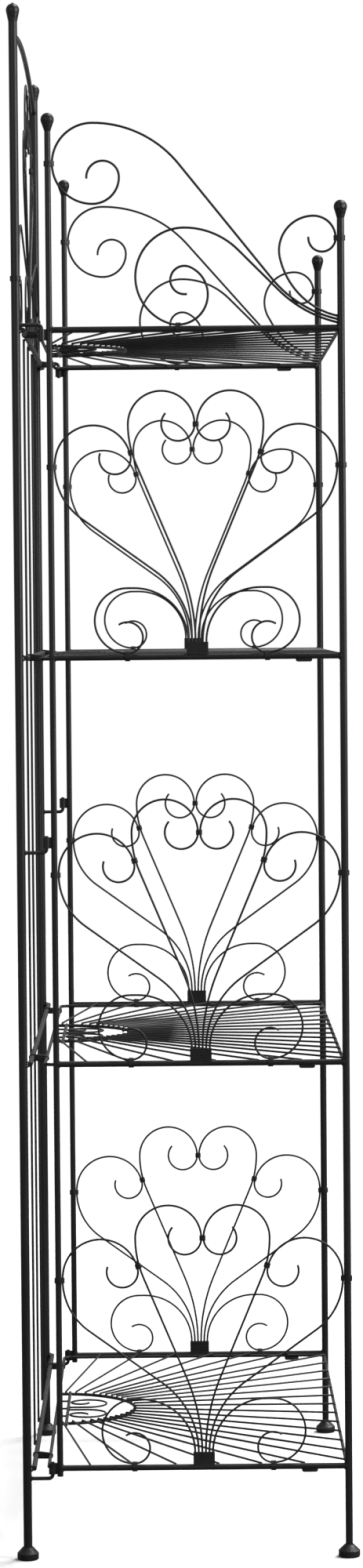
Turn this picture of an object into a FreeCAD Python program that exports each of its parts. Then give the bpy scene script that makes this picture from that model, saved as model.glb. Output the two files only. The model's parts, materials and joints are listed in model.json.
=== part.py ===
"""Folding bakers rack: a back panel, two hinged side frames and four hinged fan shelves.

Units are millimetres.  +Z is up, the front faces -Y, and the origin is on the floor at the
middle of the footprint.  Every STEP file written is one named sub-part.
"""

import FreeCAD, Part
import math
import os
from FreeCAD import Vector

os.makedirs("parts", exist_ok=True)

# ---------------------------------------------------------------- driving dimensions
FRAME_WIDTH = 730.0          # between the middle planes of the two side frames
POST_TO_LEG = 380.0          # back post to front leg, centre to centre
POST_TO_STILE = 39.0         # back post to the side frame's rear stile
POST_TO_PIN = 30.0           # back post to the side frame's hinge pins

TIERS = ("bottom", "lower", "upper", "top")
BOTTOM_TIER = 108.0          # height of the bottom tier's rails
BAY = {"lower": 479.0, "upper": 478.0, "top": 383.0}     # from the tier below up to this one
POST_RISE = 380.0            # from the top tier up to the back posts' finial tops
STILE_RISE = 252.0
LEG_RISE = 148.5
STILE_BELOW_RAIL = 9.5       # the rear stile's lower end below the bottom rail's middle

POST_R = 5.15
LEG_R = 4.3
STILE_R = 3.6
TUBE_WALL = 1.2
RAIL_R = 3.5                 # side rails
BACK_RAIL_R = 3.0            # back rails, which are also the shelves' hinge rods
WIRE_R = 1.25                # scroll wire
TOP_SCROLL_R = 1.4           # stouter wire of the side frames' top scrolls
TOUCH = 0.05                 # gap left where two welded rods lie against each other

BALL_R = 7.9                 # finial ball
BALL_NECK = 13.5             # from the ball's middle down to the tube's end
PEAK_RISE = 1.1              # small cast peak on the back posts' balls
PEAK_R = 2.4
SPIGOT_LENGTH = 14.0         # the finial's plug inside the tube
SPIGOT_CLEARANCE = 0.1

FOOT_R = 12.8
FOOT_HEIGHT = 14.5
FOOT_BASE_R = 11.2
FOOT_ROUND = 2.2             # height of the rounded lower edge
FOOT_SHOULDER = 7.6          # height at which the foot starts to narrow
FOOT_FLOOR = 4.0             # thickness of the foot under the tube
FOOT_LIP = 1.4               # the foot's rim around the tube
FOOT_CLEARANCE = 0.05        # around the tube in its socket

# side frame scrolls: u runs forward from the middle of the frame, v up from the rail
FAN_PITCH = 4.2              # between neighbouring wires at the binder
FAN_INNER_R = 39.0
FAN_INNER_V = 272.0          # height of the inner scrolls' middles
FAN_INNER_BEND_R = 231.0
FAN_INNER_RISE_R = 120.0
FAN_INNER_CURL_R = 19.5
FAN_OUTER_V = 223.0          # height at which the outer scrolls touch the frame
FAN_OUTER_BEND_R = 102.5
FAN_OUTER_RISE_R = 74.5
FAN_OUTER_CURL_R = 18.5
FAN_BASE_TOP = 81.0          # top of the low scrolls that stand on the rail
FAN_BASE_U = 82.0
FAN_BASE_CURL_R = 18.2

SPRAY_PITCH = 3.8            # between the three wires that leave the top rail's front corner
SPRAY_HEADING = 166.5
SPRAY_BEND_R = 140.0
SPRAY_V = 10.0               # height of the middle one of the three where it starts
GREAT_R = 47.0               # the great scroll, against the rear stile
GREAT_V = {"left": 193.0, "right": 168.5}
GREAT_RISE_R = {"left": 129.0, "right": 152.0}
GREAT_SECOND_R = 31.0
GREAT_CURL_R = 19.0
MIDDLE_R = 57.0              # the middle scroll, on the rail
MIDDLE_U = -12.0
MIDDLE_RISE_R = 89.0
MIDDLE_SECOND_R = 35.0
MIDDLE_CURL_R = 16.5
SMALL_R = 25.9               # the small scroll, against the front leg
SMALL_V = {"left": 104.3, "right": 99.8}
SMALL_STEM_R = 89.0
SMALL_SHOULDER_R = 40.2
SMALL_CURL_R = 15.9

COLLAR_HEIGHT = 6.0
COLLAR_WALL = 0.9
COLLAR_CLEARANCE = 0.25
BINDER_HEIGHT = 14.0
BINDER_WALL = 2.2            # from the outer wires' middles to the binder's sides
BINDER_DEPTH = 5.4
BINDER_CLEARANCE = 0.05

# hinges of the side frames
PINTLE_R = 2.2
PINTLE_CLEARANCE = 0.05
PINTLE_BEND_R = 4.6
KNUCKLE_R = 4.4
KNUCKLE_GAP = 0.5            # between a knuckle's end and the pintle's bend
KNUCKLE_HEIGHT = 13.0
PIN_PROUD = 1.5              # the pin's end beyond the knuckle
WEB_THICKNESS = 3.4
TOP_PINTLE_RISE = 5.8        # top pintle's arm above the top tier
MIDDLE_PINTLE_RISE = {"left": 249.5, "right": 262.0}     # middle pintles above the lower tier
BOTTOM_PINTLE_DROP = 12.0    # bottom pintle below the bottom tier

# shelves: v runs forward from the medallion's base rod
SHELF_INSET = 9.0            # side rod's middle inside the side frame's middle plane
SHELF_R = 2.0                # frame rods
SHELF_WIRE_R = 1.25
SHELF_CORNER_R = 8.0
REST_GAP = 0.3               # between a side rod and the tab that it rests on
LUG_REACH = 17.0             # hinge rod to the shelf's rear rod
LUG_INSET = 69.0             # lug's middle inside the shelf's side rod
LUG_WIDTH = 5.0
LUG_WALL = 1.25
LUG_CLEARANCE = 0.05
FRONT_SETBACK = 2.0          # front rod's middle behind the leg's middle
MEDALLION_SETBACK = 14.0     # rear rod to the medallion's base rod
MEDALLION_WIDTH = 190.0
MEDALLION_DEPTH = 85.0
MEDALLION_HANDOVER = 108.9   # heading where its side arcs run into the front one
MEDALLION_BASE_OVERHANG = 11.0
FAN_CENTRE = -20.0           # the shelf wires aim at this point, behind the base rod
FRONT_WIRES = 13
FRONT_WIRE_PITCH = 56.8
SIDE_WIRES = 6
SIDE_WIRE_PITCH = 50.8
SIDE_WIRE_FIRST = 50.0       # first side wire's end behind the front rod
STRUTS = 5
STRUT_PITCH = 48.0
SHELF_CURL_U = 8.0           # the two curls' stems stand this far from the middle
SHELF_CURL_R = 24.0
SHELF_CURL_INNER_R = 11.5

REST_LENGTH = 19.0           # the tabs under the side rails that carry the shelves
REST_THICKNESS = 3.2
REST_BEHIND_LEG = 46.0
REST_INSIDE = 2.5            # the tab's end beyond the shelf's side rod
REST_OUTSIDE = 2.0

# back panel
UPRIGHTS = 4
UPRIGHT_R = 1.4
UPRIGHT_PITCH = 140.0
UPRIGHT_BELOW = 1.0          # the uprights' lower ends below the bottom back rail
ARCH_R = 3.0
ARCH_DROP = 39.0             # from the finial tops down to the arch's ends
ARCH_SPRING_ANGLE = 7.8      # slope of the arch where it leaves the posts
ARCH_STUB = 16.0             # straight length at each end of the arch
BACK_INNER_R = 50.0
BACK_INNER_V = 274.0
BACK_INNER_BEND_R = 160.0
BACK_INNER_RISE_R = 150.0
BACK_INNER_CURL_R = 25.0
BACK_MIDDLE_U = -165.0       # outermost reach of the middle scrolls
BACK_MIDDLE_V = 225.0
BACK_MIDDLE_BEND_R = 85.0
BACK_MIDDLE_RISE_R = 60.0
BACK_MIDDLE_CURL_R = 19.0
BACK_OUTER_R = 55.0          # the low outer scrolls, against the posts
BACK_OUTER_V = 60.0
BACK_OUTER_BEND_R = 70.0
BACK_OUTER_SHOULDER_R = 90.0
BACK_OUTER_CURL_R = 29.0
BACK_BASE_TOP = 84.0
BACK_BASE_R = 40.0
BACK_BASE_U = 98.0
BACK_BASE_CURL_R = 21.0

# ---------------------------------------------------------------- places worked out from them
TIER_HEIGHT = {"bottom": BOTTOM_TIER}
for below, tier_above in zip(TIERS, TIERS[1:]):
    TIER_HEIGHT[tier_above] = TIER_HEIGHT[below] + BAY[tier_above]
POST_TOP = TIER_HEIGHT["top"] + POST_RISE
STILE_TOP = TIER_HEIGHT["top"] + STILE_RISE
LEG_TOP = TIER_HEIGHT["top"] + LEG_RISE
ARCH_SPRING_Z = POST_TOP - ARCH_DROP
POST_Y = POST_TO_LEG / 2
LEG_Y = POST_Y - POST_TO_LEG
STILE_Y = POST_Y - POST_TO_STILE
PIN_Y = POST_Y - POST_TO_PIN
SIDE_MID_Y = (STILE_Y - STILE_R + LEG_Y + LEG_R) / 2
SIDE_HALF = (STILE_Y - STILE_R - LEG_Y - LEG_R) / 2
HINGE_ROD_Y = POST_Y - POST_R - BACK_RAIL_R - TOUCH
REAR_ROD_Y = HINGE_ROD_Y - LUG_REACH
BASE_ROD_Y = REAR_ROD_Y - MEDALLION_SETBACK
FRONT_ROD_Y = LEG_Y + FRONT_SETBACK
SHELF_HALF = FRAME_WIDTH / 2 - SHELF_INSET
SHELF_DROP = RAIL_R - SHELF_R - REST_GAP
BACK_PLANE_Y = HINGE_ROD_Y + BACK_RAIL_R + WIRE_R + TOUCH
UPRIGHT_Y = HINGE_ROD_Y + BACK_RAIL_R + UPRIGHT_R + TOUCH
WIRE_STEP = 2 * WIRE_R + TOUCH
UP = Vector(0, 0, 1)


# ---------------------------------------------------------------- plane paths
# A path is a list of pieces: two points are a straight run, three points an arc.  A heading is
# the direction of travel in degrees, and turn is +1 to the left or -1 to the right.

def normal(heading):
    """Unit vector from a left-turning circle's middle to the point travelled at a heading."""
    return math.sin(math.radians(heading)), -math.cos(math.radians(heading))


def on_circle(circle, heading):
    (u, v), radius, turn = circle
    n_u, n_v = normal(heading)
    return u + turn * radius * n_u, v + turn * radius * n_v


def circle_through(point, heading, radius, turn):
    n_u, n_v = normal(heading)
    return (point[0] - turn * radius * n_u, point[1] - turn * radius * n_v), radius, turn


def joined_circle(circle, heading, radius):
    """The circle of another radius that runs into this one without a kink at a heading."""
    return circle_through(on_circle(circle, heading), heading, radius, circle[2])


def arc(circle, start, end):
    return [on_circle(circle, start), on_circle(circle, (start + end) / 2), on_circle(circle, end)]


def joining_heading(first, second, after):
    """Heading of the straight run from one circle to another, reached by turning on from after."""
    (u_1, v_1), radius_1, turn_1 = first
    (u_2, v_2), radius_2, turn_2 = second
    distance = math.hypot(u_2 - u_1, v_2 - v_1)
    bearing = math.degrees(math.atan2(v_2 - v_1, u_2 - u_1))
    lean = math.degrees(math.asin((turn_1 * radius_1 - turn_2 * radius_2) / distance))
    return after + turn_1 * ((turn_1 * (bearing + lean - after)) % 360)


def scroll(stem, start, circles, headings):
    """Path of a scroll: a straight stem, a bend, a straight run, then circles that tighten.

    stem is the straight start or None, start is (bend circle, heading), circles are the turns
    of the scroll from the widest in, and headings are where each hands over to the next.
    """
    bend, first_heading = start
    run = joining_heading(bend, circles[0], first_heading)
    path = [stem] if stem else []
    path.append(arc(bend, first_heading, run))
    path.append([on_circle(bend, run), on_circle(circles[0], run)])
    heading = run
    for circle, end in zip(circles, headings):
        path.append(arc(circle, heading, end))
        heading = end
    return path


def mirrored(path):
    return [[(-u, v) for u, v in piece] for piece in path]


def fan_wire(number, foot_v, binder_v, bend_r, circles, headings):
    """One wire of a fan's left half, counted from the middle: through the binder, then out."""
    u = -(number - 0.5) * FAN_PITCH
    bend = circle_through((u, binder_v), 90, bend_r, 1)
    return scroll([(u, foot_v), (u, binder_v)], (bend, 90), circles, headings)


def edge_circle(edge_u, v, radius):
    """Right-turning circle whose left side is at edge_u."""
    return (edge_u + radius, v), radius, -1


def wedged_circle(rise, heading, other):
    """The tighter circle that leaves a rise at a heading and whose wire lies against another's."""
    out, up = math.sin(math.radians(heading)), math.cos(math.radians(heading))
    reach = other[0][0] - rise[0][0] + rise[1] * out
    drop = other[0][1] - rise[0][1] - rise[1] * up
    spread = other[1] + WIRE_STEP
    radius = (reach ** 2 + drop ** 2 - spread ** 2) / (2 * (spread + out * reach - up * drop))
    return joined_circle(rise, heading, radius)


def meeting(circle, other):
    """The point of a circle nearest another one's middle, and the bearing towards it."""
    bearing = math.atan2(other[0][1] - circle[0][1], other[0][0] - circle[0][0])
    u = circle[0][0] + circle[1] * math.cos(bearing)
    v = circle[0][1] + circle[1] * math.sin(bearing)
    return (u, v), math.degrees(bearing)


# ---------------------------------------------------------------- solids

def side_plane(side, tier):
    """Places (u, v) in a side frame's plane above a tier's rail."""
    return lambda p: Vector(side * FRAME_WIDTH / 2, SIDE_MID_Y - p[0], TIER_HEIGHT[tier] + p[1])


def back_plane(p):
    return Vector(p[0], BACK_PLANE_Y, TIER_HEIGHT["top"] + p[1])


def shelf_plane(tier, lift=0.0):
    z = TIER_HEIGHT[tier] - SHELF_DROP + lift
    return lambda p: Vector(p[0], BASE_ROD_Y - p[1], z)


def sweep(path, radius, place):
    edges = []
    for piece in path:
        points = [place(p) for p in piece]
        if len(points) == 2:
            edges.append(Part.LineSegment(*points).toShape())
        else:
            edges.append(Part.Arc(*points).toShape())
    first = edges[0]
    start = first.valueAt(first.FirstParameter)
    profile = Part.Wire(Part.makeCircle(radius, start, first.tangentAt(first.FirstParameter)))
    wire = Part.Wire(edges)
    solid = wire.makePipeShell([profile], True, False)
    expected = math.pi * radius ** 2 * wire.Length
    assert abs(solid.Volume - expected) < 0.002 * expected, (solid.Volume, expected)
    return solid


def rod(start, end, radius):
    along = end - start
    return Part.makeCylinder(radius, along.Length, start, along)


def tube(x, y, bottom, top, radius):
    outer = Part.makeCylinder(radius, top - bottom, Vector(x, y, bottom), UP)
    return outer.cut(Part.makeCylinder(radius - TUBE_WALL, top - bottom, Vector(x, y, bottom), UP))


def box(low, high):
    size = high - low
    return Part.makeBox(size.x, size.y, size.z, low)


def turned(edges, x, y, z):
    """A solid turned about the vertical through (x, y) from edges drawn in (r, height)."""
    shapes = []
    for points in edges:
        points = [Vector(r, 0, h) for r, h in points]
        curve = Part.LineSegment(*points) if len(points) == 2 else Part.Arc(*points)
        shapes.append(curve.toShape())
    solid = Part.Face(Part.Wire(shapes)).revolve(Vector(0, 0, 0), UP, 360)
    solid = Part.makeSolid(solid) if solid.ShapeType != "Solid" else solid
    solid.translate(Vector(x, y, z))
    return solid


def on_ball(angle):
    return BALL_R * math.cos(angle), BALL_R * math.sin(angle)


def finial(x, y, top, tube_r, peak=0.0):
    """Ball on a tapered neck, with a plug that sits in the tube and maybe a small peak."""
    plug_r = tube_r - TUBE_WALL - SPIGOT_CLEARANCE
    reach = math.hypot(tube_r, BALL_NECK)
    touch_angle = math.atan2(-BALL_NECK, tube_r) + math.acos(BALL_R / reach)
    crown_angle = math.acos(PEAK_R / BALL_R) if peak else math.pi / 2
    touch, crown = on_ball(touch_angle), on_ball(crown_angle)
    plug_end = -BALL_NECK - SPIGOT_LENGTH
    outline = [
        [(0, plug_end), (plug_r, plug_end)],
        [(plug_r, plug_end), (plug_r, -BALL_NECK)],
        [(plug_r, -BALL_NECK), (tube_r, -BALL_NECK)],
        [(tube_r, -BALL_NECK), touch],
        [touch, on_ball((touch_angle + crown_angle) / 2), crown if peak else (0, BALL_R)],
        [(0, BALL_R + peak), (0, plug_end)],
    ]
    if peak:
        outline.insert(-1, [crown, (0, BALL_R + peak)])
    return turned(outline, x, y, top - BALL_R - peak)


def tube_top(finial_top, peak=0.0):
    return finial_top - peak - BALL_R - BALL_NECK


def foot(x, y, tube_r):
    """Domed floor foot with a socket for the tube."""
    rim_r = tube_r + FOOT_LIP
    socket_r = tube_r + FOOT_CLEARANCE
    heel = (FOOT_BASE_R + (FOOT_R - FOOT_BASE_R) * 0.72, FOOT_ROUND * 0.28)
    outline = [
        [(0, 0), (FOOT_BASE_R, 0)],
        [(FOOT_BASE_R, 0), heel, (FOOT_R, FOOT_ROUND)],
        [(FOOT_R, FOOT_ROUND), (FOOT_R, FOOT_SHOULDER)],
        [(FOOT_R, FOOT_SHOULDER), (rim_r, FOOT_HEIGHT)],
        [(rim_r, FOOT_HEIGHT), (socket_r, FOOT_HEIGHT)],
        [(socket_r, FOOT_HEIGHT), (socket_r, FOOT_FLOOR)],
        [(socket_r, FOOT_FLOOR), (0, FOOT_FLOOR)],
        [(0, FOOT_FLOOR), (0, 0)],
    ]
    return turned(outline, x, y, 0)


def belt(radius_1, radius_2, distance, grow):
    """Face around two circles, one at the origin and one at (distance, 0), in local (s, t)."""
    r_1 = radius_1 + grow
    r_2 = radius_2 + grow
    open_angle = math.acos((r_1 - r_2) / distance)
    c, s = math.cos(open_angle), math.sin(open_angle)
    upper = [(r_1 * c, r_1 * s), (distance + r_2 * c, r_2 * s)]
    lower = [(distance + r_2 * c, -r_2 * s), (r_1 * c, -r_1 * s)]
    return [
        upper,
        [upper[1], (distance + r_2, 0), lower[0]],
        lower,
        [lower[1], (-r_1, 0), upper[0]],
    ]


def belt_solid(outline, origin, across, depth, along, length):
    """Extrudes a belt outline: s runs along across, t along depth, both unit vectors."""
    shapes = []
    for points in outline:
        points = [origin + across * s + depth * t - along * (length / 2) for s, t in points]
        curve = Part.LineSegment(*points) if len(points) == 2 else Part.Arc(*points)
        shapes.append(curve.toShape())
    return Part.Face(Part.Wire(shapes)).extrude(along * length)


def collar(first, radius_1, second, radius_2, along):
    """Band around two rods side by side, given a point of each one's axis and their direction."""
    across = second - first
    distance = across.Length
    across = across / distance
    depth = across.cross(along)
    outer = belt(radius_1, radius_2, distance, COLLAR_CLEARANCE + COLLAR_WALL)
    inner = belt(radius_1, radius_2, distance, COLLAR_CLEARANCE)
    band = belt_solid(outer, first, across, depth, along, COLLAR_HEIGHT)
    return band.cut(belt_solid(inner, first, across, depth, along, 2 * COLLAR_HEIGHT))


def flat_collar(place, point, bearing, radius_1, radius_2):
    """Collar in a scrollwork plane: the second rod lies against the first at a bearing."""
    cos_b, sin_b = math.cos(math.radians(bearing)), math.sin(math.radians(bearing))
    reach = radius_1 + radius_2 + TOUCH
    first = place(point)
    second = place((point[0] + reach * cos_b, point[1] + reach * sin_b))
    along = place((point[0] - sin_b, point[1] + cos_b)) - first
    return collar(first, radius_1, second, radius_2, along)


def twin_collars(place, circle, other):
    """Collars, left and right, where two neighbouring scrolls of a fan lie together."""
    point, bearing = meeting(circle, other)
    return [flat_collar(place, point, bearing, WIRE_R, WIRE_R),
            flat_collar(place, (-point[0], point[1]), 180 - bearing, WIRE_R, WIRE_R)]


def binder_top(rail_r):
    return rail_r + TOUCH + BINDER_HEIGHT


def binder(place, wires, rail_r):
    """Block on a rail that holds the feet of a fan's wires."""
    half = (wires - 1) * FAN_PITCH / 2 + BINDER_WALL
    bottom, top = rail_r + TOUCH, binder_top(rail_r)
    corners = [place((-half, bottom)), place((half, bottom)), place((half, top)), place((-half, top))]
    out = (corners[1] - corners[0]).cross(corners[3] - corners[0]).normalize()
    corners = [c - out * (BINDER_DEPTH / 2) for c in corners]
    block = Part.Face(Part.makePolygon(corners + corners[:1])).extrude(out * BINDER_DEPTH)
    for index in range(wires):
        u = (index - (wires - 1) / 2) * FAN_PITCH
        hole = rod(place((u, bottom - 1)), place((u, top + 1)), WIRE_R + BINDER_CLEARANCE)
        block = block.cut(hole)
    return block


def save(node, solids):
    """Writes one sub-part; a piece cut in two by mistake would show as an extra solid."""
    loose = [one for shape in solids for one in shape.Solids]
    assert len(loose) == len(solids), node
    shape = loose[0] if len(loose) == 1 else Part.makeCompound(loose)
    assert shape.isValid(), node
    shape.exportStep("parts/%s.step" % node)
    print("%-26s %2d solids  %9.0f mm3" % (node, len(loose), shape.Volume))


# ---------------------------------------------------------------- scroll paths of the side frames

def fan_paths():
    """The left half of a side frame's fan from the middle wire out, and the two circles that meet."""
    foot_v = RAIL_R + TOUCH
    binder_v = binder_top(RAIL_R)

    inner = ((-(FAN_INNER_R + WIRE_STEP / 2), FAN_INNER_V), FAN_INNER_R, -1)
    inner_rise = joined_circle(inner, 90, FAN_INNER_RISE_R)
    inner_path = fan_wire(1, foot_v, binder_v, FAN_INNER_BEND_R,
                          [inner_rise, inner, joined_circle(inner, -90, FAN_INNER_CURL_R)],
                          [90, -90, -312])

    outer_rise = edge_circle(WIRE_R + TOUCH - SIDE_HALF, FAN_OUTER_V, FAN_OUTER_RISE_R)
    outer = wedged_circle(outer_rise, 83, inner_rise)
    outer_path = fan_wire(2, foot_v, binder_v, FAN_OUTER_BEND_R,
                          [outer_rise, outer, joined_circle(outer, -77, FAN_OUTER_CURL_R)],
                          [83, -77, -290])

    base_r = (FAN_BASE_TOP - RAIL_R - WIRE_R - TOUCH) / 2
    base = ((-FAN_BASE_U, FAN_BASE_TOP - base_r), base_r, 1)
    base_path = fan_wire(3, foot_v, binder_v, FAN_BASE_TOP - binder_v,
                         [base, joined_circle(base, 360, FAN_BASE_CURL_R)], [360, 574])
    return [inner_path, outer_path, base_path], (inner_rise, outer)


def fan_collars(place, pair):
    """Collars of one fan: the middle pair, neighbouring scrolls, and scrolls to the frame."""
    collars = [
        flat_collar(place, (-WIRE_STEP / 2, FAN_INNER_V), 0, WIRE_R, WIRE_R),
        flat_collar(place, (-SIDE_HALF - STILE_R, FAN_OUTER_V), 0, STILE_R, WIRE_R),
        flat_collar(place, (SIDE_HALF + LEG_R, FAN_OUTER_V), 180, LEG_R, WIRE_R),
    ]
    collars += twin_collars(place, *pair)
    for side in (-1, 1):
        collars.append(flat_collar(place, (side * FAN_BASE_U, 0), 90, RAIL_R, WIRE_R))
    return collars


def top_scroll_paths(name):
    """The three scrolls over the top rail, which spring together from its front corner."""
    start_u = SIDE_HALF - TOUCH - TOP_SCROLL_R * math.sin(math.radians(SPRAY_HEADING))
    edge_u = SIDE_HALF - TOP_SCROLL_R - TOUCH

    def spray(number):
        start = (start_u, SPRAY_V + number * SPRAY_PITCH)
        return circle_through(start, SPRAY_HEADING, SPRAY_BEND_R - number * SPRAY_PITCH, -1)

    great = ((GREAT_R - edge_u, GREAT_V[name]), GREAT_R, 1)
    great_second = joined_circle(great, 360, GREAT_SECOND_R)
    great_path = scroll(None, (spray(0), SPRAY_HEADING),
                        [joined_circle(great, 180, GREAT_RISE_R[name]), great, great_second,
                         joined_circle(great_second, 450, GREAT_CURL_R)], [180, 360, 450, 635])

    handover = 340
    second_v = RAIL_R + TOP_SCROLL_R + TOUCH + MIDDLE_SECOND_R
    middle_v = second_v + (MIDDLE_R - MIDDLE_SECOND_R) * math.cos(math.radians(handover))
    middle = ((MIDDLE_U, middle_v), MIDDLE_R, 1)
    second = joined_circle(middle, handover, MIDDLE_SECOND_R)
    middle_path = scroll(None, (spray(-1), SPRAY_HEADING),
                         [joined_circle(middle, 180, MIDDLE_RISE_R), middle, second,
                          joined_circle(second, 515, MIDDLE_CURL_R)], [180, handover, 515, 730])

    # the small scroll stands on the other two and lies against the leg
    small = ((edge_u - SMALL_R, SMALL_V[name]), SMALL_R, -1)
    stem = circle_through((start_u, SPRAY_V + SPRAY_PITCH), SPRAY_HEADING, SMALL_STEM_R, -1)
    small_path = scroll(None, (stem, SPRAY_HEADING),
                        [joined_circle(small, 0, SMALL_SHOULDER_R), small,
                         joined_circle(small, -90, SMALL_CURL_R)], [0, -90, -275])
    return [great_path, middle_path, small_path], second[0][0]


# ---------------------------------------------------------------- side frames

def pintle_heights(name):
    """Height of each pintle's arm on a post, and +1 where its pin stands up or -1 where it hangs."""
    return [(TIER_HEIGHT["top"] + TOP_PINTLE_RISE, -1),
            (TIER_HEIGHT["lower"] + MIDDLE_PINTLE_RISE[name], 1),
            (TIER_HEIGHT["bottom"] - BOTTOM_PINTLE_DROP, 1)]


def knuckle_bottoms(name):
    clear = PINTLE_BEND_R + KNUCKLE_GAP
    return [z + clear if up > 0 else z - clear - KNUCKLE_HEIGHT for z, up in pintle_heights(name)]


def knuckle(x, bottom):
    barrel = Part.makeCylinder(KNUCKLE_R, KNUCKLE_HEIGHT, Vector(x, PIN_Y, bottom), UP)
    web = box(Vector(x - WEB_THICKNESS / 2, STILE_Y, bottom),
              Vector(x + WEB_THICKNESS / 2, PIN_Y, bottom + KNUCKLE_HEIGHT))
    stile = Part.makeCylinder(STILE_R, KNUCKLE_HEIGHT, Vector(x, STILE_Y, bottom), UP)
    bore = Part.makeCylinder(PINTLE_R + PINTLE_CLEARANCE, KNUCKLE_HEIGHT, Vector(x, PIN_Y, bottom), UP)
    return barrel.fuse(web).cut(stile).cut(bore)


def side_rail(x, z, stile, leg):
    rail = rod(Vector(x, STILE_Y, z), Vector(x, LEG_Y, z), RAIL_R)
    return rail.cut(stile).cut(leg)


def rest_tab(side, tier):
    """Tab welded under a side rail; the shelf's side rod lies on it."""
    top = TIER_HEIGHT[tier] - RAIL_R
    y = LEG_Y + REST_BEHIND_LEG
    inner = SHELF_HALF - SHELF_R - REST_INSIDE
    outer = FRAME_WIDTH / 2 + REST_OUTSIDE
    low_x, high_x = sorted((side * inner, side * outer))
    plate = box(Vector(low_x, y - REST_LENGTH / 2, top - REST_THICKNESS),
                Vector(high_x, y + REST_LENGTH / 2, top))
    lower = [e for e in plate.Edges
             if abs(e.CenterOfMass.z - top + REST_THICKNESS) < 0.01 and abs(e.CenterOfMass.y - y) > 1]
    return plate.makeFillet(REST_THICKNESS * 0.8, lower)


def side_frame(name, side):
    x = side * FRAME_WIDTH / 2
    stile_bottom = TIER_HEIGHT["bottom"] - STILE_BELOW_RAIL
    stile = tube(x, STILE_Y, stile_bottom, tube_top(STILE_TOP), STILE_R)
    leg = tube(x, LEG_Y, FOOT_FLOOR, tube_top(LEG_TOP), LEG_R)
    save(name + "_rear_stile", [stile])
    save(name + "_front_leg", [leg])
    full_stile = Part.makeCylinder(STILE_R, STILE_TOP, Vector(x, STILE_Y, 0), UP)
    full_leg = Part.makeCylinder(LEG_R, LEG_TOP, Vector(x, LEG_Y, 0), UP)
    save(name + "_side_rails", [side_rail(x, TIER_HEIGHT[t], full_stile, full_leg) for t in TIERS])
    save(name + "_shelf_rests", [rest_tab(side, t) for t in TIERS])

    halves, pair = fan_paths()
    collars, binders = [], []
    for tier in TIERS[:-1]:
        place = side_plane(side, tier)
        paths = halves + [mirrored(path) for path in halves]
        save("%s_%s_fan" % (name, tier), [sweep(path, WIRE_R, place) for path in paths])
        collars += fan_collars(place, pair)
        binders.append(binder(place, len(paths), RAIL_R))
    save(name + "_fan_binders", binders)

    place = side_plane(side, "top")
    paths, rail_u = top_scroll_paths(name)
    save(name + "_top_scrolls", [sweep(path, TOP_SCROLL_R, place) for path in paths])
    collars += [
        flat_collar(place, (-SIDE_HALF - STILE_R, GREAT_V[name]), 0, STILE_R, TOP_SCROLL_R),
        flat_collar(place, (SIDE_HALF + LEG_R, SMALL_V[name]), 180, LEG_R, TOP_SCROLL_R),
        flat_collar(place, (rail_u, 0), 90, RAIL_R, TOP_SCROLL_R),
    ]
    save(name + "_scroll_collars", collars)
    save(name + "_finials", [finial(x, STILE_Y, STILE_TOP, STILE_R), finial(x, LEG_Y, LEG_TOP, LEG_R)])
    save(name + "_front_foot", [foot(x, LEG_Y, LEG_R)])
    save(name + "_hinge_knuckles", [knuckle(x, bottom) for bottom in knuckle_bottoms(name)])


# ---------------------------------------------------------------- shelves

def medallion_outline():
    """Half-round outline on the base rod: side, front and side arcs without a kink."""
    half = MEDALLION_WIDTH / 2
    heading = MEDALLION_HANDOVER
    slope = math.tan(math.radians(heading / 2))
    side_r = (MEDALLION_DEPTH * slope - half) / (slope - 1)
    front_r = side_r + (half - side_r) / math.sin(math.radians(heading))
    side = ((half - side_r, 0), side_r, 1)
    front = ((0, MEDALLION_DEPTH - front_r), front_r, 1)
    foot = 90 + math.degrees(math.asin((SHELF_R + 3 * TOUCH) / side_r))
    far_side = ((-side[0][0], side[0][1]), side[1], 1)
    outline = [arc(side, foot, heading), arc(front, heading, 360 - heading),
               arc(far_side, 360 - heading, 360 - foot)]
    return outline, side, front


def ray_hit(origin, aim, circle):
    """How far along the ray from origin to aim a circle is last met, as a share of the ray."""
    (c_u, c_v), radius, _ = circle
    d_u, d_v = aim[0] - origin[0], aim[1] - origin[1]
    o_u, o_v = origin[0] - c_u, origin[1] - c_v
    a = d_u ** 2 + d_v ** 2
    b = d_u * o_u + d_v * o_v
    c = o_u ** 2 + o_v ** 2 - radius ** 2
    return (-b + math.sqrt(b * b - a * c)) / a


def wire_start(aim, side, front):
    """Where a wire that points away from the fan's centre leaves the medallion."""
    origin = (0, FAN_CENTRE)
    share = ray_hit(origin, aim, front)
    u = share * aim[0]
    v = FAN_CENTRE + share * (aim[1] - FAN_CENTRE)
    edge = front[1] * (side[0][0] / (front[1] - side[1]))
    if abs(u) > edge:
        mirror = math.copysign(1, aim[0])
        circle = ((mirror * side[0][0], side[0][1]), side[1], 1)
        share = ray_hit(origin, aim, circle)
        u = share * aim[0]
        v = FAN_CENTRE + share * (aim[1] - FAN_CENTRE)
    return (u, v)


def shelf_wires(tier, side, front):
    place = shelf_plane(tier, SHELF_R + SHELF_WIRE_R + TOUCH)
    depth = BASE_ROD_Y - FRONT_ROD_Y
    aims = [((i - (FRONT_WIRES - 1) / 2) * FRONT_WIRE_PITCH, depth) for i in range(FRONT_WIRES)]
    for i in range(SIDE_WIRES):
        aims += [(SHELF_HALF, depth - SIDE_WIRE_FIRST - i * SIDE_WIRE_PITCH)]
    wires = []
    for aim in aims:
        start = wire_start(aim, side, front)
        if start[1] < 0:
            # the rearmost wires start on the outermost struts
            u = (STRUTS - 1) / 2 * STRUT_PITCH
            start = (u, FAN_CENTRE + (aim[1] - FAN_CENTRE) * u / aim[0])
        wires.append(rod(place(start), place(aim), SHELF_WIRE_R))
        if aim[0] == SHELF_HALF:
            wires.append(rod(place((-start[0], start[1])), place((-aim[0], aim[1])), SHELF_WIRE_R))
    return wires


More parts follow.
